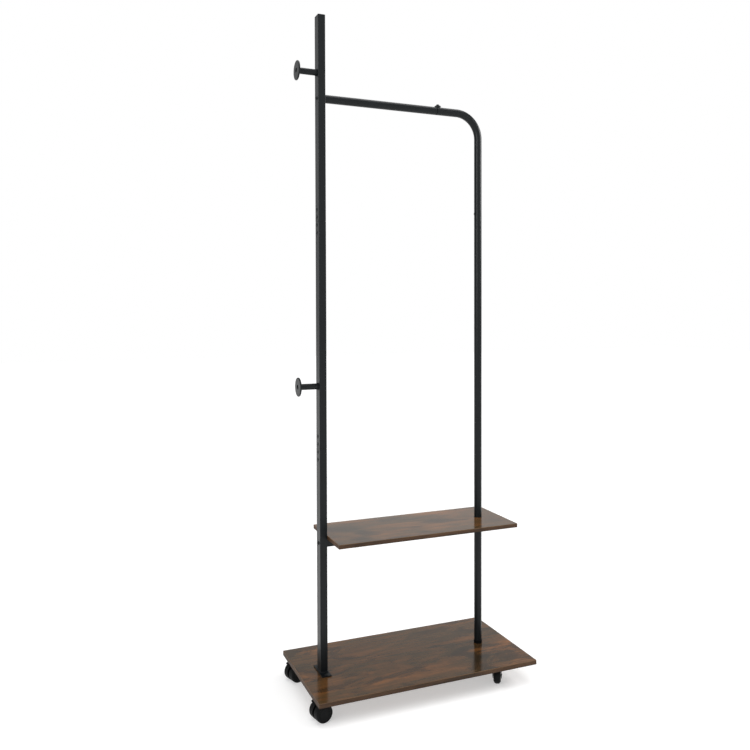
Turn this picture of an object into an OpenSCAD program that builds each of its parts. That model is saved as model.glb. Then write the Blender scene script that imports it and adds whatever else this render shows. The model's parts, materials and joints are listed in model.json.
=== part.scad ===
// Rolling clothes rack with a shelf, a base board and two coat pegs.
// Millimetres. +X runs to the right, +Y to the back, +Z up.
// The origin is on the floor, under the middle of the base board.

/* [Base board] */
// Length of the base board, left to right
base_l = 600; // [500:5:760]
// Depth of the base board, front to back
base_d = 312; // [250:2:420]
// Thickness of the base board
base_t = 11.5; // [9:0.5:25]
// Thickness of the strip glued round the edges of both boards
band_t = 0.8; // [0.4:0.1:2]

/* [Shelf] */
// Depth of the shelf board
shelf_d = 202; // [150:2:260]
// Thickness of the shelf board
shelf_t = 10.4; // [9:0.2:20]
// Height of the shelf's top above the base board
shelf_h = 350; // [200:5:520]
// How far the shelf runs past the round post's axis
shelf_reach = 62.5; // [30:2:80]

/* [Square post] */
// Width of the square post, left to right
post_w = 19; // [15:0.5:30]
// Depth of the square post, front to back
post_d = 28; // [22:0.5:40]
// Wall of the square post
post_wall = 1.2; // [0.8:0.1:2]
// Corner radius of the square post
post_corner = 1.2; // [0.8:0.1:2.4]
// Left face of the square post, from the left end of the base board
post_inset = 51; // [40:1:90]
// Height of the square post above the base board
post_h = 1658; // [1560:2:2000]
// Height of the joint between the lower and the middle section
lower_seam = 572; // [500:2:600]
// Height of the joint between the middle and the upper section
upper_seam = 1144.5; // [1000:0.5:1200]
// Thickness of the cap's lid on top of the post
cap_t = 2; // [1:0.5:4]
// How far the cap's plug goes down into the post
cap_plug = 14; // [8:1:30]
// Gap that shows between two sections of a post
seam_gap = 0.8; // [0.2:0.1:2]

/* [Round post and rail] */
// Outer diameter of the round post and of the rail
tube_d = 20.5; // [18:0.5:26]
// Wall of the round tubes
tube_wall = 1.2; // [0.8:0.1:2]
// Axis of the round post, from the right end of the base board
round_inset = 86.5; // [60:0.5:140]
// Height of the joint between the lower and the middle tube
tube_lower_seam = 624; // [560:2:700]
// Height of the joint between the middle tube and the bent tube
tube_upper_seam = 1146.5; // [1000:0.5:1200]
// Height of the rail's axis above the base board
rail_h = 1452.5; // [1340:0.5:1500]
// Radius of the bend, to the tube's axis
bend_r = 66; // [45:1:100]
// Length of the straight rail, from the square post to its joint
rail_l = 316; // [200:1:330]
// Gap that shows at the rail's joint
rail_gap = 1.8; // [0.2:0.1:3]

/* [Inner joiners] */
// Length of the joiner inside the square post
post_joiner_l = 84; // [72:2:160]
// Length of the joiners inside the round tubes
tube_joiner_l = 96; // [90:2:160]
// Length of the joiner inside the rail
rail_joiner_l = 70; // [40:2:120]
// Wall of every joiner
joiner_wall = 1.5; // [1:0.1:3]
// Gap between a joiner and the tube round it, on each side
slip_gap = 0.1; // [0.05:0.05:0.5]

/* [Screws and bolts] */
// Shank diameter of the joint screws
screw_d = 5; // [4:0.5:6]
// Head diameter of the joint screws
screw_head_d = 9; // [8:0.5:12]
// Height of the joint screws' heads, which sit in holes in the outer tube
screw_head_h = 1.6; // [1:0.1:3]
// Length of the joint screws' shanks
screw_l = 5; // [4:0.5:8]
// Distance from one joint screw to the next
screw_pitch = 19.6; // [16:0.2:24]
// Height of the round post's screw above its upper joint
tube_screw_rise = 37.5; // [20:0.5:40]
// Shank diameter of the bolts
bolt_d = 6; // [5:0.5:8]
// Head diameter of the bolts
bolt_head_d = 11; // [10:0.5:14]
// Height of the bolts' heads
bolt_head_h = 3.4; // [2.5:0.1:6]
// Length of the bolts' shanks
bolt_l = 36; // [32:1:50]
// Gap between a thread and the hole that it turns in
thread_gap = 0.05; // [0.02:0.01:0.2]
// Gap between a plain shank and the hole that it passes through
hole_gap = 0.3; // [0.2:0.1:1]

/* [Feet of the posts] */
// Width of the foot plate under the square post
plate_w = 25; // [22:0.5:40]
// Length of the foot plate, front to back
plate_l = 70; // [60:1:110]
// Thickness of the foot plate
plate_t = 3; // [2:0.5:6]
// Distance from the end of the foot plate to its screw
plate_screw_edge = 9; // [7:0.5:14]
// Shank diameter of the wood screws
wood_screw_d = 4; // [3:0.5:5]
// Head diameter of the wood screws
wood_head_d = 8; // [6:0.5:10]
// Height of the wood screws' heads
wood_head_h = 2.2; // [1.5:0.1:3]
// How deep a wood screw bites into its board
wood_bite = 8; // [5:0.5:8.5]
// Wall of the collar round the foot of the round post
collar_wall = 1; // [0.8:0.1:3]
// Height of the collar
collar_h = 8; // [5:0.5:20]
// Length of the threaded plugs inside the tubes
plug_l = 18; // [14:1:24]
// Thickness of the flat washer under the base board
washer_t = 1.6; // [1:0.1:3]
// Diameter of the flat washer
washer_d = 18; // [14:1:26]

/* [Support bar and rail joint] */
// Height and depth of the square bar under the shelf
bar_s = 19; // [16:0.5:24]
// Wall of the support bar
bar_wall = 1.2; // [0.8:0.1:2]
// Diameter of the saddle washer on the rail
saddle_d = 17; // [12:0.5:20]
// Height of the saddle washer above the rail
saddle_t = 3; // [1:0.1:4]
// Distance from the rail's joint to its screw
saddle_shift = 4.5; // [4:0.5:10]
// Height of the head of the rail's screw
saddle_head_h = 4.2; // [2:0.1:6]

/* [Coat pegs] */
// Height of the lower peg above the base board
lower_peg_h = 728.5; // [660:0.5:1000]
// Height of the upper peg above the base board
upper_peg_h = 1516; // [1490:0.5:1640]
// How far the pegs stand out from the post
peg_reach = 53; // [30:0.5:90]
// Diameter of the disc at the end of a peg
disc_d = 48; // [30:1:70]
// Thickness of that disc
disc_t = 4; // [4:0.5:8]
// Diameter of the sunk hole in the middle of the disc
recess_d = 12; // [11:0.5:16]
// Depth of that hole
recess_t = 3; // [2:0.1:3.4]
// Rounding of the disc's rim
disc_round = 1.4; // [0.5:0.1:1.4]
// Diameter of the peg's stem
stem_d = 15.5; // [12:0.5:22]
// Diameter of the ring at the foot of the stem
ring_d = 18; // [17.5:0.5:27]
// Thickness of that ring
ring_t = 3; // [1.5:0.5:6]

/* [Casters] */
// Height from the floor to the base board
caster_h = 50; // [50:1:70]
// Radius of the left casters' wheels
wheel_r = 22; // [16:0.5:22]
// Overall width of the two wheels of a left caster
caster_w = 42.5; // [36:0.5:50]
// Width of the web between the two wheels
web_w = 6; // [5:0.5:8]
// Gap between a wheel and the piece beside it
wheel_gap = 0.5; // [0.4:0.1:1]
// Radius of the right casters' wheels
single_r = 21; // [16:0.5:21]
// Overall width of a right caster, over the legs of its fork
fork_w = 23.5; // [20:0.5:30]
// Thickness of the fork's legs
leg_t = 1.5; // [1.5:0.1:3]
// Horizontal distance from a swivel axis to its wheels' axle
trail = 15; // [12:0.5:18]
// Swivel axis of the left casters, from the left end of the board
left_caster_inset = 33; // [28:1:60]
// Swivel axes of the left casters, from the front and the back of the board
left_caster_edge = 46; // [36:1:70]
// Swivel axis of the right casters, from the right end of the board
right_caster_inset = 86.5; // [28:0.5:110]
// Swivel axes of the right casters, from the front and the back of the board
right_caster_edge = 54; // [36:1:70]
// Side of a caster's square top plate
caster_plate_s = 38; // [36:1:46]
// Thickness of a caster's top plate
caster_plate_t = 2; // [1.5:0.1:3]
// Distance between the screws of a top plate
caster_screw_pitch = 28; // [26:0.5:34]
// Diameter of the kingpin that a caster swivels on
kingpin_d = 8; // [6:0.5:8]
// Diameter of the axle
axle_d = 6; // [4:0.5:8]
// Radial clearance of a running fit
run_gap = 0.05; // [0.02:0.01:0.1]

/* [Hidden] */
$fn = 64;

steel_colour = [0.09, 0.095, 0.1];
bright_colour = [0.55, 0.56, 0.58];
wood_colour = [0.36, 0.26, 0.19];
band_colour = [0.3, 0.19, 0.12];
plastic_colour = [0.06, 0.06, 0.065];

eps = 0.01;
reach = 5; // how far a cutter runs past the face that it opens
left_x = -base_l / 2;
right_x = base_l / 2;
base_top = caster_h + base_t;

// Square post
post_x = left_x + post_inset + post_w / 2;
post_left = post_x - post_w / 2;
post_right = post_x + post_w / 2;
post_foot_z = base_top + plate_t;
lower_seam_z = base_top + lower_seam;
upper_seam_z = base_top + upper_seam;
post_top_z = base_top + post_h;
post_bore_w = post_w - 2 * post_wall;
post_bore_d = post_d - 2 * post_wall;
corner_steps = 4;

// Round post and rail
tube_r = tube_d / 2;
tube_bore_r = tube_r - tube_wall;
round_x = right_x - round_inset;
tube_lower_seam_z = base_top + tube_lower_seam;
tube_upper_seam_z = base_top + tube_upper_seam;
rail_z = base_top + rail_h;
bend_start_z = rail_z - bend_r;
bend_end_x = round_x - bend_r;
rail_seam_x = post_right + rail_l;
saddle_x = rail_seam_x + saddle_shift;
tube_screw_z = tube_upper_seam_z + tube_screw_rise;

// Shelf and its bar
shelf_gap = 0.5;
shelf_top_z = base_top + shelf_h;
shelf_under_z = shelf_top_z - shelf_t;
shelf_left = post_right + shelf_gap;
shelf_right = round_x + shelf_reach;
shelf_l = shelf_right - shelf_left;
bar_z = shelf_under_z - bar_s / 2;
bar_bore = bar_s - 2 * bar_wall;
bar_end_x = round_x - tube_r;
bar_clear = bar_end_x - post_right;
shelf_screw_x = [for (part = [0.25, 0.5, 0.75]) post_right + part * bar_clear];
shelf_hole_gap = 0.5;

// Screws, bolts and plugs
screw_rows = [-1.5, -0.5, 0.5, 1.5];
sunk_x = post_left + post_wall + slip_gap; // where the sunk screw heads sit
seams_z = [lower_seam_z, upper_seam_z];
plug_gap = 0.3;
plug_bore_spare = 1;
foot_bolt_l = base_t + washer_t + plug_l - 2 * plug_bore_spare;
plate_screw_y = plate_l / 2 - plate_screw_edge;

// Pegs
pegs_z = [base_top + lower_peg_h, base_top + upper_peg_h];
peg_bolt_d = 5;
peg_bolt_head_d = 10;
peg_nut_d = 8;
peg_nut_l = 10;
peg_nut_flange_d = 12;
peg_nut_flange_t = 0.8;
peg_bolt_head_h = 1.8;
peg_bolt_l = peg_reach - recess_t + peg_nut_l - plug_bore_spare;
stem_x0 = post_left - peg_nut_flange_t;

// Casters, in the order front left, front right, back left, back right
caster_x = [left_x + left_caster_inset, right_x - right_caster_inset,
            left_x + left_caster_inset, right_x - right_caster_inset];
caster_y = [-base_d / 2 + left_caster_edge, -base_d / 2 + right_caster_edge,
            base_d / 2 - left_caster_edge, base_d / 2 - right_caster_edge];
caster_turn = [12, 58.5, 17, 48];
wheel_w = (caster_w - web_w) / 2 - wheel_gap;
plate_under_z = caster_h - caster_plate_t;
wheel_top = 2 * single_r;
hood_top_z = plate_under_z - wheel_gap;
fender_gap = 1.3;
fender_t = 1.5;
fender_in_r = wheel_r + fender_gap;
fender_out_r = fender_in_r + fender_t;
fender_low_angle = 52;
web_r = wheel_r - 4;
boss_r = kingpin_d / 2 + 5;
kingpin_grip = 7;
kingpin_chamfer = 0.6;
kingpin_tip_z = hood_top_z - kingpin_grip;
kingpin_bore_spare = 0.3;
hub_r = axle_d / 2 + 3;
rim_in_r = wheel_r - 3;
shoulder_r = 4.5;
shoulder_steps = 5;
face_t = 4.2;
axle_seat = wheel_w - face_t + 1;
axle_half = web_w / 2 + wheel_gap + axle_seat - 0.4;
single_w = fork_w - 2 * leg_t - 2 * wheel_gap;
single_shoulder = 8;
single_dish = 2.5;
crown_z = wheel_top + fender_gap;
leg_r = axle_d / 2 + 5;
leg_front = kingpin_d / 2 + 4;
axle_head_t = 1;
plate_screw_d = 3.4;
plate_head_d = 6.4;
plate_head_h = 1.2;

// ---------- shared shapes ----------

// Outline of a rectangle with rounded corners, each an arc of a few steps
function rounded_outline(w, d, r) = [
  for (quarter = [0:3], step = [0:corner_steps])
    let (a = 90 * (quarter + step / corner_steps),
         sx = (quarter == 0 || quarter == 3) ? 1 : -1,
         sy = quarter < 2 ? 1 : -1)
      [sx * (w / 2 - r) + r * cos(a), sy * (d / 2 - r) + r * sin(a)]
];

module along_x() {
  rotate([0, 90, 0]) children();
}

// A post section or its joiner: a rectangular tube from z0 to z1
module box_tube(w, d, wall, r, z0, z1) {
  inner_r = max(r - wall, 0.3);
  translate([0, 0, z0]) difference() {
    linear_extrude(z1 - z0) polygon(rounded_outline(w, d, r));
    translate([0, 0, -reach])
      linear_extrude(z1 - z0 + 2 * reach)
        polygon(rounded_outline(w - 2 * wall, d - 2 * wall, inner_r));
  }
}

module round_tube(r, wall, length) {
  difference() {
    cylinder(h = length, r = r);
    translate([0, 0, -reach]) cylinder(h = length + 2 * reach, r = r - wall);
  }
}

// A screw pointing along +Z: domed head below z = 0, shank above it
module domed_screw(d, l, head_d, head_h, key) {
  dome_r = (pow(head_d / 2, 2) + pow(head_h, 2)) / (2 * head_h);
  difference() {
    union() {
      intersection() {
        translate([0, 0, dome_r - head_h]) sphere(r = dome_r);
        translate([0, 0, -head_h]) cylinder(h = head_h, d = head_d);
      }
      cylinder(h = l, d = d);
    }
    translate([0, 0, -head_h - eps]) cylinder(h = head_h * 0.65, d = key, $fn = 6);
  }
}

// The same with a tapered head
module tapered_screw(d, l, head_d, head_h, key) {
  difference() {
    union() {
      translate([0, 0, -head_h]) cylinder(h = head_h, d1 = head_d * 0.6, d2 = head_d);
      cylinder(h = l, d = d);
    }
    translate([0, 0, -head_h - eps]) cylinder(h = head_h * 0.65, d = key, $fn = 6);
  }
}

// A threaded plug pointing along +Z, with its tapped bore open at z = 0
module round_plug(r, l, bore_d) {
  difference() {
    cylinder(h = l, r = r);
    translate([0, 0, -reach]) cylinder(h = l + reach - plug_bore_spare, d = bore_d);
  }
}

// ---------- boards ----------

module board_core(l, d, t) {
  translate([-l / 2 + band_t, -d / 2 + band_t, 0])
    cube([l - 2 * band_t, d - 2 * band_t, t]);
}

module board_band(l, d, t) {
  difference() {
    translate([-l / 2, -d / 2, 0]) cube([l, d, t]);
    translate([-l / 2 + band_t, -d / 2 + band_t, -reach])
      cube([l - 2 * band_t, d - 2 * band_t, t + 2 * reach]);
  }
}

module base_board() {
  color(wood_colour) difference() {
    translate([0, 0, caster_h]) board_core(base_l, base_d, base_t);
    // Bolt hole under the round post
    translate([round_x, 0, caster_h - reach])
      cylinder(h = base_t + 2 * reach, d = bolt_d + 2 * hole_gap);
    // Pilot holes of the foot plate
    for (side = [-1, 1])
      translate([post_x, side * plate_screw_y, base_top - wood_bite])
        cylinder(h = wood_bite + reach, d = wood_screw_d + 2 * thread_gap);
    // Pilot holes of the casters' top plates
    at_plate_screws()
      translate([0, 0, -reach])
        cylinder(h = wood_bite + reach, d = plate_screw_d + 2 * thread_gap);
  }
}

module base_edge_band() {
  color(band_colour) translate([0, 0, caster_h]) board_band(base_l, base_d, base_t);
}

module shelf_board() {
  color(wood_colour) difference() {
    translate([shelf_left + shelf_l / 2, 0, shelf_under_z]) board_core(shelf_l, shelf_d, shelf_t);
    // The round post goes through the shelf
    translate([round_x, 0, shelf_under_z - reach])
      cylinder(h = shelf_t + 2 * reach, r = tube_r + shelf_hole_gap);
    for (x = shelf_screw_x)
      translate([x, 0, shelf_under_z - reach])
        cylinder(h = wood_bite + reach, d = wood_screw_d + 2 * thread_gap);
  }
}

module shelf_edge_band() {
  color(band_colour)
    translate([shelf_left + shelf_l / 2, 0, shelf_under_z]) board_band(shelf_l, shelf_d, shelf_t);
}

// ---------- square post ----------

// Every hole through the post's walls
module post_holes() {
  for (z = seams_z, row = screw_rows)
    translate([post_left - reach, 0, z + row * screw_pitch])
      along_x() cylinder(h = reach + post_w / 2, d = screw_head_d + 2 * hole_gap);
  for (z = pegs_z)
    translate([post_left - reach, 0, z])
      along_x() cylinder(h = reach + post_w / 2, d = peg_nut_d + 2 * thread_gap);
  for (z = [rail_z, bar_z])
    translate([post_left - reach, 0, z])
      along_x() cylinder(h = post_w + 2 * reach, d = bolt_d + 2 * hole_gap);
}

// A section of the square post; short is what its top stays under z1
module post_section(z0, z1, short) {
  color(steel_colour) difference() {
    translate([post_x, 0, 0]) box_tube(post_w, post_d, post_wall, post_corner, z0, z1 - short);
    post_holes();
  }
}

module post_joiner(seam_z) {
  joiner_w = post_bore_w - 2 * slip_gap;
  joiner_d = post_bore_d - 2 * slip_gap;
  color(bright_colour) difference() {
    translate([post_x, 0, 0])
      box_tube(joiner_w, joiner_d, joiner_wall, post_corner,
               seam_z - post_joiner_l / 2, seam_z + post_joiner_l / 2);
    for (row = screw_rows)
      translate([post_left - reach, 0, seam_z + row * screw_pitch])
        along_x() cylinder(h = reach + post_w / 2, d = screw_d + 2 * thread_gap);
  }
}

module post_joint_screws() {
  color(steel_colour)
    for (z = seams_z, row = screw_rows)
      translate([sunk_x, 0, z + row * screw_pitch])
        along_x() domed_screw(screw_d, screw_l, screw_head_d, screw_head_h, screw_d * 0.7);
}

module post_foot_plate() {
  color(steel_colour) difference() {
    translate([post_x - plate_w / 2, -plate_l / 2, base_top]) cube([plate_w, plate_l, plate_t]);
    for (side = [-1, 1])
      translate([post_x, side * plate_screw_y, base_top - reach])
        cylinder(h = plate_t + 2 * reach, d = wood_screw_d + 2 * hole_gap);
  }
}

module foot_plate_screws() {
  color(steel_colour)
    for (side = [-1, 1])
      translate([post_x, side * plate_screw_y, post_foot_z])
        rotate([180, 0, 0])
          domed_screw(wood_screw_d, plate_t + wood_bite - plug_bore_spare,
                      wood_head_d, wood_head_h, wood_screw_d * 0.6);
}

module post_top_cap() {
  plug_w = post_bore_w - 2 * slip_gap;
  plug_d = post_bore_d - 2 * slip_gap;
  color(plastic_colour) {
    translate([post_x, 0, post_top_z - cap_t])
      linear_extrude(cap_t) polygon(rounded_outline(post_w, post_d, post_corner));
    translate([post_x, 0, 0])
      box_tube(plug_w, plug_d, joiner_wall, post_corner, post_top_z - cap_t - cap_plug, post_top_z - cap_t);
  }
}

// ---------- round post and rail ----------

module tube_lower() {
  color(steel_colour) difference() {
    translate([round_x, 0, base_top]) round_tube(tube_r, tube_wall, tube_lower_seam - seam_gap);
    // The bar's bolt goes through both walls
    translate([bar_end_x - reach, 0, bar_z])
      along_x() cylinder(h = tube_d + 2 * reach, d = bolt_d + 2 * hole_gap);
  }
}

module tube_middle() {
  color(steel_colour)
    translate([round_x, 0, tube_lower_seam_z])
      round_tube(tube_r, tube_wall, tube_upper_seam - tube_lower_seam - seam_gap);
}

// The upright, the bend and the first stretch of the rail, as one bent tube
module bend_tube() {
  color(steel_colour) difference() {
    union() {
      translate([round_x, 0, tube_upper_seam_z])
        round_tube(tube_r, tube_wall, bend_start_z - tube_upper_seam_z);
      translate([bend_end_x, 0, bend_start_z]) rotate([90, 0, 0])
        rotate_extrude(angle = 90) translate([bend_r, 0]) difference() {
          circle(r = tube_r);
          circle(r = tube_bore_r);
        }
      translate([rail_seam_x, 0, rail_z])
        along_x() round_tube(tube_r, tube_wall, bend_end_x - rail_seam_x);
    }
    translate([round_x - tube_r - reach, 0, tube_screw_z])
      along_x() cylinder(h = tube_r, d = screw_d + 2 * hole_gap);
    translate([saddle_x, 0, rail_z])
      cylinder(h = tube_r + reach, d = screw_d + 2 * hole_gap);
  }
}

module tube_joiner(seam_z) {
  r = tube_bore_r - slip_gap;
  translate([round_x, 0, seam_z - tube_joiner_l / 2]) round_tube(r, joiner_wall, tube_joiner_l);
}

module tube_joiner_lower() {
  color(bright_colour) tube_joiner(tube_lower_seam_z);
}

module tube_joiner_upper() {
  color(bright_colour) difference() {
    tube_joiner(tube_upper_seam_z);
    translate([round_x - tube_r - reach, 0, tube_screw_z])
      along_x() cylinder(h = tube_r, d = screw_d + 2 * thread_gap);
  }
}

module tube_joint_screw() {
  color(steel_colour)
    translate([round_x - tube_r, 0, tube_screw_z])
      along_x() domed_screw(screw_d, screw_l, screw_head_d, screw_head_h, screw_d * 0.6);
}

module tube_foot_collar() {
  color(plastic_colour)
    translate([round_x, 0, base_top])
      round_tube(tube_r + thread_gap + collar_wall, collar_wall, collar_h);
}

module tube_foot_plug() {
  color(bright_colour)
    translate([round_x, 0, base_top])
      round_plug(tube_bore_r - slip_gap, plug_l, bolt_d + 2 * thread_gap);
}

module tube_foot_bolt() {
  color(bright_colour)
    translate([round_x, 0, caster_h - washer_t])
      domed_screw(bolt_d, foot_bolt_l, bolt_head_d, bolt_head_h, bolt_d * 0.6);
}

module tube_foot_washer() {
  color(bright_colour)
    translate([round_x, 0, caster_h - washer_t]) difference() {
      cylinder(h = washer_t, d = washer_d);
      translate([0, 0, -reach]) cylinder(h = washer_t + 2 * reach, d = bolt_d + 2 * hole_gap);
    }
}

module hanging_rail() {
  color(steel_colour)
    translate([post_right, 0, rail_z]) along_x() round_tube(tube_r, tube_wall, rail_l - rail_gap);
}

module rail_joiner() {
  r = tube_bore_r - slip_gap;
  color(bright_colour) difference() {
    translate([rail_seam_x - rail_joiner_l / 2, 0, rail_z])
      along_x() round_tube(r, joiner_wall, rail_joiner_l);
    translate([saddle_x, 0, rail_z]) cylinder(h = tube_r, d = screw_d + 2 * thread_gap);
  }
}

// Washer whose underside is hollowed to sit on the rail
module rail_saddle_washer() {
  color(steel_colour) difference() {
    translate([saddle_x, 0, rail_z]) cylinder(h = tube_r + saddle_t, d = saddle_d);
    translate([saddle_x - saddle_d, 0, rail_z])
      along_x() cylinder(h = 2 * saddle_d, r = tube_r + thread_gap);
    translate([saddle_x - saddle_d, -saddle_d, rail_z - tube_r])
      cube([2 * saddle_d, 2 * saddle_d, tube_r * 1.35]);
    translate([saddle_x, 0, rail_z])
      cylinder(h = tube_r + saddle_t + reach, d = screw_d + 2 * hole_gap);
  }
}

module rail_joint_screw() {
  color(steel_colour)
    translate([saddle_x, 0, rail_z + tube_r + saddle_t]) rotate([180, 0, 0])
      tapered_screw(screw_d, screw_l + saddle_t, bolt_head_d, saddle_head_h, screw_d * 0.6);
}

module rail_end_plug() {
  color(bright_colour)
    translate([post_right, 0, rail_z])
      along_x() round_plug(tube_bore_r - slip_gap, plug_l, bolt_d + 2 * thread_gap);
}

module rail_end_bolt() {
  color(steel_colour)
    translate([post_left, 0, rail_z])
      along_x() domed_screw(bolt_d, bolt_l - plug_bore_spare, bolt_head_d, bolt_head_h, bolt_d * 0.6);
}

// ---------- support bar ----------

module support_bar() {
  color(steel_colour) difference() {
    translate([post_right, 0, bar_z]) along_x()
      box_tube(bar_s, bar_s, bar_wall, bar_wall, 0, round_x - post_right);
    // The end is cut hollow to meet the round post
    translate([round_x, 0, bar_z - bar_s])
      cylinder(h = 2 * bar_s, r = tube_r + thread_gap);
    for (x = shelf_screw_x)
      translate([x, 0, bar_z - bar_s])
        cylinder(h = 2 * bar_s, d = wood_screw_d + 2 * hole_gap);
  }
}

module bar_plug() {
  side = bar_bore - 2 * slip_gap;
  difference() {
    translate([0, -side / 2, -side / 2]) cube([plug_l, side, side]);
    translate([-reach, 0, 0])
      along_x() cylinder(h = plug_l + reach - plug_bore_spare, d = bolt_d + 2 * thread_gap);
  }
}

module bar_end_plugs() {
  color(bright_colour) {
    translate([post_right, 0, bar_z]) bar_plug();
    translate([bar_end_x - plug_gap, 0, bar_z]) rotate([0, 0, 180]) bar_plug();
  }
}

module bar_bolts() {
  length = bolt_l - plug_bore_spare;
  color(steel_colour) {
    translate([post_left, 0, bar_z])
      along_x() domed_screw(bolt_d, length, bolt_head_d, bolt_head_h, bolt_d * 0.6);
    translate([round_x + tube_r, 0, bar_z]) rotate([0, 0, 180])
      along_x() domed_screw(bolt_d, length, bolt_head_d, bolt_head_h, bolt_d * 0.6);
  }
}

module shelf_screws() {
  color(steel_colour)
    for (x = shelf_screw_x)
      translate([x, 0, bar_z - bar_s / 2])
        domed_screw(wood_screw_d, bar_s + wood_bite - plug_bore_spare,
                    wood_head_d, wood_head_h, wood_screw_d * 0.6);
}

// ---------- coat pegs ----------

module peg_stem(z) {
  color(steel_colour) difference() {
    translate([post_left - peg_reach + disc_t, 0, z])
      along_x() cylinder(h = peg_reach - disc_t - ring_t, d = stem_d);
    translate([post_left - peg_reach - reach, 0, z])
      along_x() cylinder(h = peg_reach + reach, d = peg_bolt_d + 2 * hole_gap);
  }
}

module peg_disc(z) {
  r = disc_d / 2;
  arc = [0, 30, 60, 90];
  color(steel_colour)
    translate([post_left - peg_reach, 0, z]) along_x() difference() {
      rotate_extrude() polygon(concat(
        [[0, 0]],
        [for (a = arc) [r - disc_round + disc_round * sin(a), disc_round - disc_round * cos(a)]],
        [for (a = arc) [r - disc_round + disc_round * cos(a), disc_t - disc_round + disc_round * sin(a)]],
        [[0, disc_t]]
      ));
      translate([0, 0, -reach]) cylinder(h = reach + recess_t, d = recess_d);
      translate([0, 0, -reach]) cylinder(h = disc_t + 2 * reach, d = peg_bolt_d + 2 * hole_gap);
    }
}

module peg_rings() {
  color(steel_colour)
    for (z = pegs_z)
      translate([post_left - ring_t, 0, z]) along_x() difference() {
        cylinder(h = ring_t, d = ring_d);
        translate([0, 0, -reach]) cylinder(h = ring_t + 2 * reach, d = peg_bolt_d + 2 * hole_gap);
        // Room for the flange of the rivet nut
        translate([0, 0, ring_t - peg_nut_flange_t - thread_gap])
          cylinder(h = reach, d = peg_nut_flange_d + 2 * hole_gap);
      }
}

module peg_bolts() {
  color(steel_colour)
    for (z = pegs_z)
      translate([post_left - peg_reach + recess_t, 0, z])
        along_x() domed_screw(peg_bolt_d, peg_bolt_l, peg_bolt_head_d, peg_bolt_head_h, peg_bolt_d * 0.8);
}

module peg_rivet_nuts() {
  color(bright_colour)
    for (z = pegs_z)
      translate([stem_x0, 0, z]) along_x() difference() {
        union() {
          cylinder(h = peg_nut_flange_t, d = peg_nut_flange_d);
          cylinder(h = peg_nut_flange_t + peg_nut_l, d = peg_nut_d);
        }
        translate([0, 0, -reach])
          cylinder(h = peg_nut_flange_t + peg_nut_l + 2 * reach, d = peg_bolt_d + 2 * thread_gap);
      }
}

// ---------- casters ----------

// Places its children at the underside of the base board, once for each screw of a top plate
module at_plate_screws() {
  for (i = [0:3], sx = [-1, 1], sy = [-1, 1])
    translate([caster_x[i] + sx * caster_screw_pitch / 2,
               caster_y[i] + sy * caster_screw_pitch / 2, caster_h])
      children();
}

module caster_plates() {
  color(steel_colour) difference() {
    for (i = [0:3])
      translate([caster_x[i] - caster_plate_s / 2, caster_y[i] - caster_plate_s / 2, plate_under_z])
        cube([caster_plate_s, caster_plate_s, caster_plate_t]);
    for (i = [0:3])
      translate([caster_x[i], caster_y[i], plate_under_z - reach])
        cylinder(h = caster_plate_t + 2 * reach, d = kingpin_d + 2 * thread_gap);
    at_plate_screws() translate([0, 0, -reach - caster_plate_t]) {
      cylinder(h = caster_plate_t + 2 * reach, d = plate_screw_d + 2 * hole_gap);
      cylinder(h = reach + plate_head_h, d = plate_head_d + 2 * hole_gap);
    }
  }
}

module caster_plate_screws() {
  length = caster_plate_t - plate_head_h + wood_bite - plug_bore_spare;
  color(bright_colour)
    at_plate_screws()
      translate([0, 0, plate_head_h - caster_plate_t])
        domed_screw(plate_screw_d, length, plate_head_d, plate_head_h, plate_screw_d * 0.6);
}

module caster_kingpins() {
  r = kingpin_d / 2;
  color(bright_colour)
    for (i = [0:3])
      translate([caster_x[i], caster_y[i], kingpin_tip_z]) {
        cylinder(h = kingpin_chamfer, r1 = r - kingpin_chamfer, r2 = r);
        translate([0, 0, kingpin_chamfer])
          cylinder(h = caster_h - kingpin_tip_z - kingpin_chamfer, r = r);
      }
}

// Places its children on a caster: swivel axis at x = 0, axle along Y at x = -trail
module on_caster(i) {
  translate([caster_x[i], caster_y[i], 0]) rotate([0, 0, caster_turn[i]]) children();
}

// A disc on the line of an axle at height z, from y0 to y1
module axle_disc(r, y0, y1, z = wheel_r) {
  translate([-trail, y1, z]) rotate([90, 0, 0]) cylinder(h = y1 - y0, r = r);
}

module caster_hood(i) {
  half = caster_w / 2;
  far = 2 * fender_out_r;
  color(plastic_colour) on_caster(i) difference() {
    union() {
      // Fender over the wheels, and the top of the web
      intersection() {
        axle_disc(fender_out_r, -half, half);
        translate([-trail, half, wheel_r]) rotate([90, 0, 0]) linear_extrude(caster_w)
          polygon([[0, 0],
                   [far * cos(fender_low_angle), far * sin(fender_low_angle)],
                   [-far * cos(fender_low_angle), far * sin(fender_low_angle)]]);
      }
      axle_disc(web_r, -web_w / 2, web_w / 2);
      // Boss of the kingpin
      translate([0, 0, wheel_r + web_r * 0.75])
        cylinder(h = hood_top_z - wheel_r - web_r * 0.75, r = boss_r);
    }
    axle_disc(fender_in_r, -half - reach, -web_w / 2);
    axle_disc(fender_in_r, web_w / 2, half + reach);
    axle_disc(axle_d / 2, -half, half);
    translate([0, 0, kingpin_tip_z - kingpin_bore_spare])
      cylinder(h = kingpin_grip + reach, r = kingpin_d / 2 + run_gap);
  }
}

module caster_axle(i) {
  color(bright_colour) on_caster(i) axle_disc(axle_d / 2, -axle_half, axle_half);
}

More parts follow.
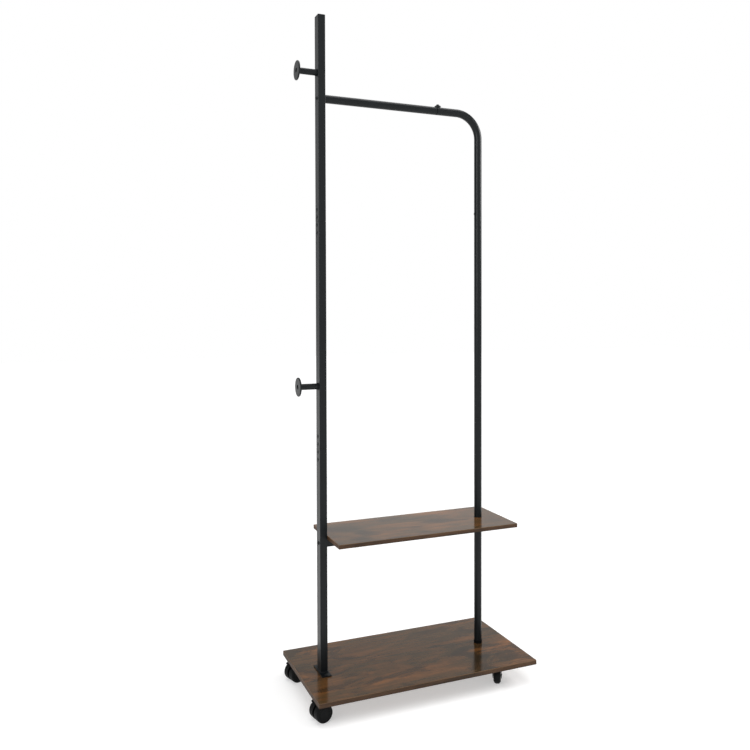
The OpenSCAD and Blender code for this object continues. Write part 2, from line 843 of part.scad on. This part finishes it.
// A cup-shaped wheel: hub, hollow inside face, rounded tread and a shallow ring on its outer face
module wheel_shape() {
  bore_r = axle_d / 2 + run_gap;
  flat_r = wheel_r - shoulder_r;
  ring_in = flat_r - 3;
  dish = 0.6;
  rotate_extrude() polygon(concat(
    [[0, axle_seat], [bore_r, axle_seat], [bore_r, 0], [hub_r, 0], [hub_r, wheel_w - face_t],
     [rim_in_r, wheel_w - face_t], [rim_in_r, 0], [wheel_r - dish, 0], [wheel_r, dish]],
    [for (step = [0:shoulder_steps])
      let (a = 90 * step / shoulder_steps)
        [flat_r + shoulder_r * cos(a), wheel_w - shoulder_r + shoulder_r * sin(a)]],
    [[flat_r - dish, wheel_w - dish], [ring_in + dish, wheel_w - dish], [ring_in, wheel_w], [0, wheel_w]]
  ));
}

// side is -1 for the wheel nearer the front of the rack and 1 for the other
module caster_wheel(i, side) {
  color(plastic_colour) on_caster(i)
    translate([-trail, side * (web_w / 2 + wheel_gap), wheel_r])
      rotate([side * -90, 0, 0]) wheel_shape();
}

// Fork of a right caster: two legs, a crown over the wheel and the boss of the kingpin
module caster_fork(i) {
  half = fork_w / 2;
  front = leg_front + trail;
  color(plastic_colour) on_caster(i) difference() {
    union() {
      for (y = [-half, half - leg_t]) {
        axle_disc(leg_r, y, y + leg_t, single_r);
        translate([-trail, y + leg_t, single_r]) rotate([90, 0, 0]) linear_extrude(leg_t)
          polygon([[-leg_r + 1, 0], [leg_r - 1, 0], [front, crown_z - single_r],
                   [front, hood_top_z - single_r], [-leg_r + 1, hood_top_z - single_r]]);
      }
      translate([-trail - leg_r + 1, -half, crown_z])
        cube([front + leg_r - 1, fork_w, hood_top_z - crown_z]);
    }
    axle_disc(axle_d / 2, -fork_w, fork_w, single_r);
    translate([0, 0, crown_z - reach])
      cylinder(h = hood_top_z - crown_z + 2 * reach, r = kingpin_d / 2 + run_gap);
  }
}

module fork_axle(i) {
  half = fork_w / 2 + axle_head_t;
  color(bright_colour) on_caster(i) {
    axle_disc(axle_d / 2, -half, half, single_r);
    for (side = [-1, 1])
      axle_disc(axle_d / 2 + 1.5, side > 0 ? fork_w / 2 : -half, side > 0 ? half : -fork_w / 2, single_r);
  }
}

// A solid wheel with a well rounded tread and a dished face on each side
module single_wheel(i) {
  bore_r = axle_d / 2 + run_gap;
  flat_r = single_r - single_shoulder;
  half = single_w / 2;
  dish_in = hub_r + 1;
  dish_out = flat_r - 1;
  arc = [for (step = [0:shoulder_steps]) 90 * step / shoulder_steps];
  color(plastic_colour) on_caster(i)
    translate([-trail, 0, single_r]) rotate([90, 0, 0]) rotate_extrude() polygon(concat(
      [[bore_r, half], [bore_r, -half], [hub_r, -half], [dish_in, single_dish - half],
       [dish_out, single_dish - half], [flat_r, -half]],
      [for (a = arc) [flat_r + single_shoulder * sin(a), single_shoulder - half - single_shoulder * cos(a)]],
      [for (a = arc) [flat_r + single_shoulder * cos(a), half - single_shoulder + single_shoulder * sin(a)]],
      [[dish_out, half - single_dish], [dish_in, half - single_dish], [hub_r, half]]
    ));
}

base_board();
base_edge_band();
shelf_board();
shelf_edge_band();
post_foot_plate();
foot_plate_screws();
post_section(post_foot_z, lower_seam_z, seam_gap);  // post_lower
post_section(lower_seam_z, upper_seam_z, seam_gap);  // post_middle
post_section(upper_seam_z, post_top_z - cap_t, 0);  // post_upper
post_joiner(lower_seam_z);  // post_joiner_lower
post_joiner(upper_seam_z);  // post_joiner_upper
post_joint_screws();
post_top_cap();
tube_lower();
tube_middle();
bend_tube();
tube_joiner_lower();
tube_joiner_upper();
tube_joint_screw();
tube_foot_collar();
tube_foot_plug();
tube_foot_bolt();
tube_foot_washer();
hanging_rail();
rail_joiner();
rail_saddle_washer();
rail_joint_screw();
rail_end_plug();
rail_end_bolt();
support_bar();
bar_end_plugs();
bar_bolts();
shelf_screws();
peg_stem(pegs_z[1]);  // upper_peg_stem
peg_disc(pegs_z[1]);  // upper_peg_disc
peg_stem(pegs_z[0]);  // lower_peg_stem
peg_disc(pegs_z[0]);  // lower_peg_disc
peg_rings();
peg_bolts();
peg_rivet_nuts();
caster_plates();
caster_plate_screws();
caster_kingpins();
caster_hood(0);  // front_left_hood
caster_axle(0);  // front_left_axle
caster_wheel(0, -1);  // front_left_wheel_front
caster_wheel(0, 1);  // front_left_wheel_back
caster_fork(1);  // front_right_fork
fork_axle(1);  // front_right_axle
single_wheel(1);  // front_right_wheel
caster_hood(2);  // back_left_hood
caster_axle(2);  // back_left_axle
caster_wheel(2, -1);  // back_left_wheel_front
caster_wheel(2, 1);  // back_left_wheel_back
caster_fork(3);  // back_right_fork
fork_axle(3);  // back_right_axle
single_wheel(3);  // back_right_wheel
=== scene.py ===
import bpy
import bmesh
import json
import math
from mathutils import Matrix, Vector


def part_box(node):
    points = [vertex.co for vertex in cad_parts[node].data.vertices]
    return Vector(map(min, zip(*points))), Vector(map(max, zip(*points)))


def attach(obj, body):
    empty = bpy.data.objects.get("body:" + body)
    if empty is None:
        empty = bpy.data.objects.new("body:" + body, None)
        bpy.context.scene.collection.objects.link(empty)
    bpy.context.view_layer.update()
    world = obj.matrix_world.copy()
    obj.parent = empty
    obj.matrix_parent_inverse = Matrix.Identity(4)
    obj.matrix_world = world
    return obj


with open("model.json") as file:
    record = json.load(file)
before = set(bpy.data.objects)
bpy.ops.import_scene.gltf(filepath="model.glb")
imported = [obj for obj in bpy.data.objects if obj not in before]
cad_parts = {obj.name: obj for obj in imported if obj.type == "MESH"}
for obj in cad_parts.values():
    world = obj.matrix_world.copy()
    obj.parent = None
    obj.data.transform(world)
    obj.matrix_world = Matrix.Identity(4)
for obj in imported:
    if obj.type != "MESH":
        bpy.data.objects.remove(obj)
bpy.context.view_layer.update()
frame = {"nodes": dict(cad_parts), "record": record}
nodes = frame["nodes"]
print("rack frame loaded,", len(nodes), "parts")

cameraPlace = {
    "at": (-0.8555, -1.8571, 0.9735),
    "lookDown": 1.19,    # degrees under the horizon
    "turn": 22.34,       # degrees clockwise from straight along +Y
    "tilt": -0.157,      # degrees about the line of sight
    "lens": 37.07,
    "sensor": 36.0,
    "shiftDown": 0.0605,
    "near": 0.05,
    "far": 60.0,
}


def placeCamera(c):
    data = bpy.data.cameras.new("rackCamera")
    data.lens = c["lens"]
    data.sensor_width = c["sensor"]
    data.shift_y = -c["shiftDown"]
    data.clip_start, data.clip_end = c["near"], c["far"]
    cam = bpy.data.objects.new("rackCamera", data)
    bpy.context.collection.objects.link(cam)
    turn = Matrix.Rotation(math.radians(-c["turn"]), 4, "Z")
    look = Matrix.Rotation(math.radians(90 - c["lookDown"]), 4, "X")
    tilt = Matrix.Rotation(math.radians(c["tilt"]), 4, "Z")
    cam.matrix_world = Matrix.Translation(c["at"]) @ turn @ look @ tilt
    bpy.context.scene.camera = cam


placeCamera(cameraPlace)
bpy.context.scene.view_settings.view_transform = "Standard"
print("camera placed")


def tone(red, green, blue):
    # a screen colour, 0 to 255, as the light values that shaders use
    def light(v):
        v = v / 255
        return v / 12.92 if v <= 0.04045 else ((v + 0.055) / 1.055) ** 2.4
    return (light(red), light(green), light(blue), 1.0)


class Wire:
    # an output socket that can be added, multiplied and so on like a number
    def __init__(self, tree, socket):
        self.tree = tree
        self.socket = socket

    def math(self, operation, first, second=0.0, clamp=False):
        return self.tree.add("ShaderNodeMath", {"operation": operation, "use_clamp": clamp},
                             {0: first, 1: second})

    def __add__(self, other):
        return self.math("ADD", self, other)

    def __radd__(self, other):
        return self.math("ADD", other, self)

    def __sub__(self, other):
        return self.math("SUBTRACT", self, other)

    def __rsub__(self, other):
        return self.math("SUBTRACT", other, self)

    def __mul__(self, other):
        return self.math("MULTIPLY", self, other)

    def __rmul__(self, other):
        return self.math("MULTIPLY", other, self)

    def __truediv__(self, other):
        return self.math("DIVIDE", self, other)

    def __pow__(self, other):
        return self.math("POWER", self, other)

    def clamped(self):
        return self.math("ADD", self, 0.0, clamp=True)

    def smooth(self, low, high):
        # 0 at low, 1 at high, with soft ends
        return self.tree.add("ShaderNodeMapRange", {"interpolation_type": "SMOOTHSTEP"},
                             {"Value": self, "From Min": low, "From Max": high})


class Tree:
    # a node tree that grows node by node
    def __init__(self, tree):
        self.nodes = tree.nodes
        self.links = tree.links

    def add(self, kind, settings=None, sockets=None, output=0):
        node = self.nodes.new(kind)
        for key, value in (settings or {}).items():
            if key == "stops":
                self.setStops(node.color_ramp, value)
            else:
                setattr(node, key, value)
        for key, value in (sockets or {}).items():
            if isinstance(value, Wire):
                self.links.new(value.socket, node.inputs[key])
            else:
                node.inputs[key].default_value = value
        return Wire(self, node.outputs[output])

    def setStops(self, ramp, stops):
        while len(ramp.elements) < len(stops):
            ramp.elements.new(0.5)
        for element, (place, colour) in zip(ramp.elements, stops):
            element.position = place
            element.color = colour


class Finish(Tree):
    # the tree of a material, or of the world
    def __init__(self, name, family="materials", outlet="ShaderNodeOutputMaterial"):
        self.owner = getattr(bpy.data, family).new(name)
        self.owner.use_nodes = True
        super().__init__(self.owner.node_tree)
        self.nodes.clear()
        self.out = self.nodes.new(outlet)

    def place(self, centre=(0, 0, 0), stretch=(1, 1, 1)):
        # object coordinates counted from a centre, then stretched
        where = self.add("ShaderNodeTexCoord", output=3)
        moved = self.add("ShaderNodeMapping", {"vector_type": "POINT"},
                         {"Vector": where, "Location": tuple(-v for v in centre)})
        return self.add("ShaderNodeMapping", {"vector_type": "POINT"},
                        {"Vector": moved, "Scale": stretch})

    def noise(self, where, scale, detail, rough, swirl=0.0):
        return self.add("ShaderNodeTexNoise", {"noise_dimensions": "3D"},
                        {"Vector": where, "Scale": scale, "Detail": detail,
                         "Roughness": rough, "Distortion": swirl})

    def layer(self, centre, stretch, detail, rough, swirl=0.0):
        # noise with its own waves per metre along X, Y and Z
        return self.noise(self.place(centre, stretch), 1.0, detail, rough, swirl)

    def axis(self, where, letter):
        return self.add("ShaderNodeSeparateXYZ", {}, {"Vector": where},
                        output="XYZ".index(letter))

    def ramp(self, value, colours):
        # colours holds the named colours and, under stops, where each one stands
        stops = [(place, colours[name]) for place, name in colours["stops"]]
        return self.add("ShaderNodeValToRGB", {"stops": stops}, {"Fac": value})

    def blend(self, factor, first, second):
        return self.add("ShaderNodeMix", {"data_type": "RGBA"},
                        {"Factor": factor, 6: first, 7: second}, output=2)

    def bump(self, height, depth, strength):
        return self.add("ShaderNodeBump", {},
                        {"Height": height, "Distance": depth, "Strength": strength})

    def finishWith(self, shader):
        self.links.new(shader.socket, self.out.inputs["Surface"])
        return self.owner

    def done(self, **sockets):
        named = {key.replace("_", " "): value for key, value in sockets.items()}
        return self.finishWith(self.add("ShaderNodeBsdfPrincipled", {}, named))


# In the dictionaries of finishes, a layer of noise is (waves per metre along X, Y and Z,
# detail, roughness, swirl), or starts with one number where it's even in all directions.
# An Edge is where a mask begins and where it's full, and a Cover is how much it hides.
laminate = {
    "charcoal": tone(35, 28, 18),
    "dark": tone(48, 35, 23),
    "olive": tone(72, 55, 33),
    "brown": tone(90, 61, 34),
    "tan": tone(113, 74, 39),
    "amber": tone(137, 85, 39),
    "stops": ((0.30, "dark"), (0.42, "olive"), (0.53, "brown"), (0.64, "tan"), (0.80, "amber")),
    "broad": ((4, 12, 12), 3.0, 0.55, 0.9),
    "cloud": ((6, 15, 15), 5.0, 0.6, 1.2),
    "grain": ((5, 130, 130), 6.0, 0.65, 0.35),
    "fine": ((16, 560, 560), 4.0, 0.7, 0.2),
    "saw": ((170, 14, 14), 3.0, 0.6, 0.5),
    "knot": ((5, 14, 14), 3.0, 0.5, 1.6),
    "wear": ((30, 30, 30), 3.0, 0.6),
    "broadShare": 0.9,   # how much each layer counts in the wood's warmth
    "grainShare": 0.45,
    "fineShare": 0.36,
    "sawShare": 0.1,
    "warmthDrop": 0.39,
    "stainEdge": (0.47, 0.62),
    "stainGrain": 0.9,   # how much the grain breaks up the dark stains
    "stainEven": 0.38,
    "stainCover": 0.84,
    "glowEdge": (0.52, 0.72),
    "glowGrainEdge": (0.34, 0.66),
    "glowCover": 0.32,
    "streakEdge": (0.58, 0.72),
    "streakCover": 0.55,
    "poreEdge": (0.60, 0.76),
    "poreCover": 0.55,
    "poreRough": 0.06,
    "gloss": 0.13,
    "glossWear": 0.05,
    "mirror": 0.38,      # specular level of the lacquer
    "fineRelief": 0.6,
    "grainRelief": 0.4,
    "reliefDepth": 0.00004,
    "reliefStrength": 0.6,
}


def makeLaminate(name, centre, shift):
    # printed rustic planks under a glossy lacquer; the grain runs along X
    s = laminate
    f = Finish(name)
    spot = tuple(c - d for c, d in zip(centre, shift))
    broad, cloud, grain, fine, saw, knot, wear = (
        f.layer(spot, *s[key])
        for key in ("broad", "cloud", "grain", "fine", "saw", "knot", "wear"))
    warmth = (broad * s["broadShare"] + grain * s["grainShare"] + fine * s["fineShare"]
              + saw * s["sawShare"] - s["warmthDrop"]).clamped()
    wood = f.ramp(warmth, s)
    broken = grain * s["stainGrain"] + s["stainEven"]
    stain = (cloud.smooth(*s["stainEdge"]) * broken).clamped()
    wood = f.blend(stain * s["stainCover"], wood, s["charcoal"])
    glow = (knot.smooth(*s["glowEdge"]) * grain.smooth(*s["glowGrainEdge"])).clamped()
    wood = f.blend(glow * s["glowCover"], wood, s["amber"])
    wood = f.blend(grain.smooth(*s["streakEdge"]) * s["streakCover"], wood, s["dark"])
    pores = fine.smooth(*s["poreEdge"]) * s["poreCover"]
    wood = f.blend(pores, wood, s["charcoal"])
    rough = wear * s["glossWear"] + pores * s["poreRough"] + s["gloss"]
    height = fine * s["fineRelief"] + grain * s["grainRelief"]
    return f.done(Base_Color=wood, Roughness=rough, Specular_IOR_Level=s["mirror"],
                  Normal=f.bump(height, s["reliefDepth"], s["reliefStrength"]))


edging = {
    "dark": tone(40, 29, 20),
    "brown": tone(68, 48, 32),
    "light": tone(86, 62, 41),
    "stain": tone(42, 35, 26),
    # the colour of the painted highlight along the top of the strip
    "rim": tone(124, 95, 67),
    "stops": ((0.34, "dark"), (0.5, "brown"), (0.68, "light")),
    "long": ((9, 9, 60), 4.0, 0.6, 0.8),
    "grain": ((24, 24, 900), 5.0, 0.65, 0.3),
    "cloud": ((5, 5, 20), 3.0, 0.5, 1.2),
    "longShare": 0.6,
    "grainShare": 0.4,
    "stainEdge": (0.56, 0.68),
    "stainCover": 0.7,
    "rimEdge": (0.70, 0.96),    # where the painted highlight along the top begins and is full, in shares of half the strip's height
    "rimPatches": 0.7,
    "rimEven": 0.35,
    "rimCover": 0.7,
    # painted shade along the bottom of the strip: where it begins and is full, in shares of half
    # the strip's height
    "shadeEdge": (0.45, 0.98),
    "shadeCover": 0.55,
    "grainRough": 0.1,
    "rough": 0.5,
    "mirror": 0.2,
    "reliefDepth": 0.00005,
    "reliefStrength": 0.5,
}


def makeEdging(name, centre, halfHeight):
    # the strip round a board: the print runs round it; a painted highlight lightens its top and
    # painted shade darkens its bottom
    s = edging
    f = Finish(name)
    long, grain, cloud = (f.layer(centre, *s[key]) for key in ("long", "grain", "cloud"))
    wood = f.ramp(long * s["longShare"] + grain * s["grainShare"], s)
    wood = f.blend(cloud.smooth(*s["stainEdge"]) * s["stainCover"], wood, s["stain"])
    height = f.axis(f.place(centre), "Z") / halfHeight
    # painted highlight: the top of the strip made lighter, broken into patches along its length
    rim = height.smooth(*s["rimEdge"]) * (long * s["rimPatches"] + s["rimEven"])
    wood = f.blend(rim.clamped() * s["rimCover"], wood, s["rim"])
    # painted shade: the bottom of the strip darkened towards the dark print colour
    paintedShade = (0 - height).smooth(*s["shadeEdge"])
    wood = f.blend(paintedShade * s["shadeCover"], wood, s["dark"])
    return f.done(Base_Color=wood, Roughness=grain * s["grainRough"] + s["rough"],
                  Specular_IOR_Level=s["mirror"],
                  Normal=f.bump(grain, s["reliefDepth"], s["reliefStrength"]))


powderCoat = {
    "black": tone(12, 16, 18),
    "bare": tone(17, 22, 25),
    "peel": (620, 2.0, 0.5),
    "rub": (14, 4.0, 0.6, 0.4),
    "mark": ((260, 260, 22), 3.0, 0.6, 0.3),
    "rubEdge": (0.45, 0.75),
    "rubCover": 0.5,
    "rubRough": 0.09,
    "markEdge": (0.62, 0.74),
    "markRough": 0.06,
    "rough": 0.295,      # where nothing has rubbed or marked it
    "mirror": 0.22,
    "peelDepth": 0.00006,
    "peelStrength": 0.55,
}


def makePowderCoat(name):
    # satin black powder coat: fine orange peel, faint rubbed patches and handling marks
    s = powderCoat
    f = Finish(name)
    where = f.place()
    peel = f.noise(where, *s["peel"])
    rub = f.noise(where, *s["rub"])
    mark = f.layer((0, 0, 0), *s["mark"])
    colour = f.blend(rub.smooth(*s["rubEdge"]) * s["rubCover"], s["black"], s["bare"])
    rough = rub * s["rubRough"] + mark.smooth(*s["markEdge"]) * s["markRough"] + s["rough"]
    return f.done(Base_Color=colour, Roughness=rough, Specular_IOR_Level=s["mirror"],
                  Normal=f.bump(peel, s["peelDepth"], s["peelStrength"]))


zinc = {
    "bright": tone(176, 178, 180),
    "dull": tone(138, 139, 138),
    "blotch": (90, 4.0, 0.6, 0.5),
    "brush": ((900, 120, 900), 3.0, 0.6),
    "blotchEdge": (0.35, 0.7),
    "blotchRough": 0.14,
    "brushRough": 0.08,
    "rough": 0.22,
    "brushDepth": 0.00002,
    "brushStrength": 0.4,
}


def makeZinc(name):
    # zinc-plated steel of the inner joiners, plugs and hidden screws
    s = zinc
    f = Finish(name)
    blotch = f.noise(f.place(), *s["blotch"])
    brush = f.layer((0, 0, 0), *s["brush"])
    colour = f.blend(blotch.smooth(*s["blotchEdge"]), s["bright"], s["dull"])
    rough = blotch * s["blotchRough"] + brush * s["brushRough"] + s["rough"]
    return f.done(Base_Color=colour, Metallic=1.0, Roughness=rough,
                  Normal=f.bump(brush, s["brushDepth"], s["brushStrength"]))


nylon = {
    "hood": tone(8, 9, 10),
    "wheel": tone(10, 11, 12),
    "scuff": tone(34, 34, 35),
    "hoodDust": 0.2,
    "wheelDust": 0.7,
    "grain": (1500, 2.0, 0.5),
    "mottle": (60, 4.0, 0.55, 0.3),
    "dustEdge": (0.001, 0.012),     # heights over the floor
    "dustPatchEdge": (0.4, 0.7),
    "mottleEdge": (0.5, 0.8),
    "mottleCover": 0.25,
    "mottleRough": 0.12,
    "dustRough": 0.2,
    "rough": 0.44,
    "mirror": 0.1,
    "grainDepth": 0.00003,
    "grainStrength": 0.5,
}


def makeNylon(name, colour, dustiness):
    # moulded nylon with a fine spark-eroded texture; the treads pick up a little dust
    s = nylon
    f = Finish(name)
    where = f.place()
    grain = f.noise(where, *s["grain"])
    mottle = f.noise(where, *s["mottle"])
    low = 1 - f.axis(where, "Z").smooth(*s["dustEdge"])
    dust = low * mottle.smooth(*s["dustPatchEdge"]) * dustiness
    worn = mottle.smooth(*s["mottleEdge"]) * s["mottleCover"] + dust
    rough = mottle * s["mottleRough"] + dust * s["dustRough"] + s["rough"]
    return f.done(Base_Color=f.blend(worn, colour, s["scuff"]), Roughness=rough.clamped(),
                  Specular_IOR_Level=s["mirror"],
                  Normal=f.bump(grain, s["grainDepth"], s["grainStrength"]))


def middle(part):
    low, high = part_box(part)
    return tuple((a + b) / 2 for a, b in zip(low, high))


def halfTall(part):
    low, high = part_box(part)
    return (high[2] - low[2]) / 2


# the shifts give the two boards different stretches of the print
finishes = {
    "base_board": makeLaminate("baseLaminate", middle("base_board"), (0.11, 0.03, 0)),
    "shelf_board": makeLaminate("shelfLaminate", middle("shelf_board"), (0.73, 0.41, 0.2)),
    "base_edge_band": makeEdging("baseEdging", middle("base_edge_band"),
                                 halfTall("base_edge_band")),
    "shelf_edge_band": makeEdging("shelfEdging", middle("shelf_edge_band"),
                                  halfTall("shelf_edge_band")),
}
bySlot = {
    "black_steel": makePowderCoat("blackPowderCoat"),
    "zinc_steel": makeZinc("zincPlate"),
    "black_plastic": makeNylon("hoodNylon", nylon["hood"], nylon["hoodDust"]),
    "wheel_plastic": makeNylon("wheelNylon", nylon["wheel"], nylon["wheelDust"]),
}
for entry in frame["record"]["subparts"]:
    part = nodes[entry["node"]]
    finish = finishes.get(entry["node"]) or bySlot[entry["material_slot"]]
    part.data.materials.clear()
    part.data.materials.append(finish)
print("finishes made")

# the bead of weld at the foot of the square post
weld = {
    "radius": 0.0016,
    "corner": 0.0014,
    "ripple": 0.00045,
    "rippleScale": 420.0,
    "rippleDetail": 2.0,
    "seed": 3.0,
    "steps": 220,        # along the bead
    "cornerSteps": 6,
    "ringSteps": 10,     # round the bead
    "lift": 0.3,         # of its radius, over the foot plate
}


def weldBeadTree(sizes, material):
    # sweeps a round bead along a rounded rectangle and ripples it
    group = bpy.data.node_groups.new("weldBead", "GeometryNodeTree")
    for name, value in sizes.items():
        socket = group.interface.new_socket(name, in_out="INPUT", socket_type="NodeSocketFloat")
        socket.default_value = value
    group.interface.new_socket("Geometry", in_out="OUTPUT", socket_type="NodeSocketGeometry")
    tree = Tree(group)
    inlet = group.nodes.new("NodeGroupInput")
    given = {name: Wire(tree, inlet.outputs[name]) for name in sizes}
    path = tree.add("GeometryNodeCurvePrimitiveQuadrilateral", {},
                    {"Width": given["width"], "Height": given["depth"]})
    path = tree.add("GeometryNodeFilletCurve", {"mode": "POLY"},
                    {"Curve": path, "Radius": given["corner"], "Count": weld["cornerSteps"]})
    path = tree.add("GeometryNodeResampleCurve", {}, {"Curve": path, "Count": weld["steps"]})
    ring = tree.add("GeometryNodeCurvePrimitiveCircle", {},
                    {"Radius": given["radius"], "Resolution": weld["ringSteps"]})
    bead = tree.add("GeometryNodeCurveToMesh", {}, {"Curve": path, "Profile Curve": ring})
    noise = tree.add("ShaderNodeTexNoise", {"noise_dimensions": "4D"},
                     {"Scale": given["rippleScale"], "Detail": weld["rippleDetail"],
                      "W": weld["seed"]})
    outwards = tree.add("GeometryNodeInputNormal")
    push = tree.add("ShaderNodeVectorMath", {"operation": "SCALE"},
                    {0: outwards, "Scale": (noise - 0.5) * given["ripple"]})
    bead = tree.add("GeometryNodeSetPosition", {}, {"Geometry": bead, "Offset": push})
    bead = tree.add("GeometryNodeRealizeInstances", {}, {"Geometry": bead})
    bead = tree.add("GeometryNodeSetMaterial", {}, {"Geometry": bead, "Material": material})
    outlet = group.nodes.new("NodeGroupOutput")
    group.links.new(bead.socket, outlet.inputs["Geometry"])
    return group


def makeFromTree(name, group, values, at):
    # runs a node tree once and keeps its result as a plain mesh, its place in the mesh
    holder = bpy.data.objects.new(name + "Holder", bpy.data.meshes.new(name + "Holder"))
    bpy.context.collection.objects.link(holder)
    mod = holder.modifiers.new("tree", "NODES")
    mod.node_group = group
    for item in group.interface.items_tree:
        if item.in_out == "INPUT":
            mod[item.identifier] = values[item.name]
    seen = holder.evaluated_get(bpy.context.evaluated_depsgraph_get())
    mesh = bpy.data.meshes.new_from_object(seen)
    mesh.name = name
    mesh.transform(Matrix.Translation(at))
    bpy.data.objects.remove(holder)
    piece = bpy.data.objects.new(name, mesh)
    bpy.context.collection.objects.link(piece)
    return piece


def makeWeldBead():
    low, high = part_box("post_lower")
    sizes = {"width": high[0] - low[0], "depth": high[1] - low[1]}
    sizes.update({key: weld[key] for key in ("corner", "radius", "ripple", "rippleScale")})
    group = weldBeadTree(sizes, bySlot["black_steel"])
    across, along, _ = middle("post_lower")
    at = (across, along, low[2] + weld["radius"] * weld["lift"])
    bead = makeFromTree("postWeldBead", group, sizes, at)
    for face in bead.data.polygons:
        face.use_smooth = True
    return bead


weldBead = makeWeldBead()
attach(weldBead, "rack")
print("weld bead made")

studio = {
    "floorSize": 30.0,
    "floorWhite": 0.70,
    "floorRough": 0.9,
    "nearGlow": 0.43,
    "farGlow": 0.90,
    "glowEdge": (0.6, 6.0),         # metres from the rack
    "sky": 0.20,
    "skyBack": 0.66,
    "skyFront": 1.15,
    "backEdge": (0.1, 0.75),        # the bright sweeps behind and in front, by heading
    "frontEdge": (0.2, 0.85),
    "backFootEdge": (-0.12, 0.06),  # and by height
    "frontFootEdge": (-0.10, 0.08),
    "topEdge": (0.34, 0.6),
    "backdrop": 1.0,
}


def makeFloor(s):
    mesh = bpy.data.meshes.new("studioFloor")
    form = bmesh.new()
    bmesh.ops.create_grid(form, x_segments=1, y_segments=1, size=s["floorSize"] / 2)
    form.to_mesh(mesh)
    form.free()
    floor = bpy.data.objects.new("studioFloor", mesh)
    bpy.context.collection.objects.link(floor)
    f = Finish("floorPaper")
    where = f.place()
    across, along = f.axis(where, "X"), f.axis(where, "Y")
    away = (across * across + along * along) ** 0.5
    near, far, white = s["nearGlow"], s["farGlow"], s["floorWhite"]
    glow = f.blend(away.smooth(*s["glowEdge"]), (near, near, near, 1), (far, far, far, 1))
    material = f.done(Base_Color=(white, white, white, 1), Roughness=s["floorRough"],
                      Specular_IOR_Level=0.0, Emission_Color=glow, Emission_Strength=1.0)
    mesh.materials.append(material)


def makeWorld(s):
    # a dim room with bright sweeps low behind and in front; plain white where it's seen directly
    f = Finish("studioWorld", "worlds", "ShaderNodeOutputWorld")
    heading = f.add("ShaderNodeTexCoord")
    back, up = f.axis(heading, "Y"), f.axis(heading, "Z")
    under = 1 - up.smooth(*s["topEdge"])
    behind = back.smooth(*s["backEdge"]) * up.smooth(*s["backFootEdge"]) * under
    before = (0 - back).smooth(*s["frontEdge"]) * up.smooth(*s["frontFootEdge"]) * under
    strength = (behind * (s["skyBack"] - s["sky"]) + before * (s["skyFront"] - s["sky"])
                + s["sky"])
    white = (1, 1, 1, 1)
    light = f.add("ShaderNodeBackground", {}, {"Color": white, "Strength": strength})
    seen = f.add("ShaderNodeBackground", {}, {"Color": white, "Strength": s["backdrop"]})
    direct = f.add("ShaderNodeLightPath")
    mixed = f.add("ShaderNodeMixShader", {}, {0: direct, 1: light, 2: seen})
    bpy.context.scene.world = f.finishWith(mixed)


# name: (where, aimed at, width, height, radiance of the box)
softboxes = {
    "overhead": ((0.0, 0.1, 3.4), (0.0, 0.0, 0.0), 3.4, 3.0, 2.25),
    "rightHigh": ((2.6, -0.55, 2.1), (0.2, 0.0, 1.45), 1.9, 1.1, 8.0),
    "leftStrip": ((-2.1, -1.25, 1.75), (0.1, 0.0, 1.3), 0.6, 1.4, 10.0),
}


def makeSoftbox(name, where, aim, width, height, radiance):
    data = bpy.data.lights.new(name, "AREA")
    data.shape = "RECTANGLE"
    data.size, data.size_y = width, height
    data.energy = radiance * math.pi * width * height   # the same radiance over the whole box
    lamp = bpy.data.objects.new(name, data)
    lamp.location = where
    lamp.rotation_euler = (Vector(aim) - Vector(where)).to_track_quat("-Z", "Y").to_euler()
    lamp.visible_camera = False
    bpy.context.collection.objects.link(lamp)


makeFloor(studio)
makeWorld(studio)
for boxName, boxSizes in softboxes.items():
    makeSoftbox(boxName, *boxSizes)
print("studio lit")
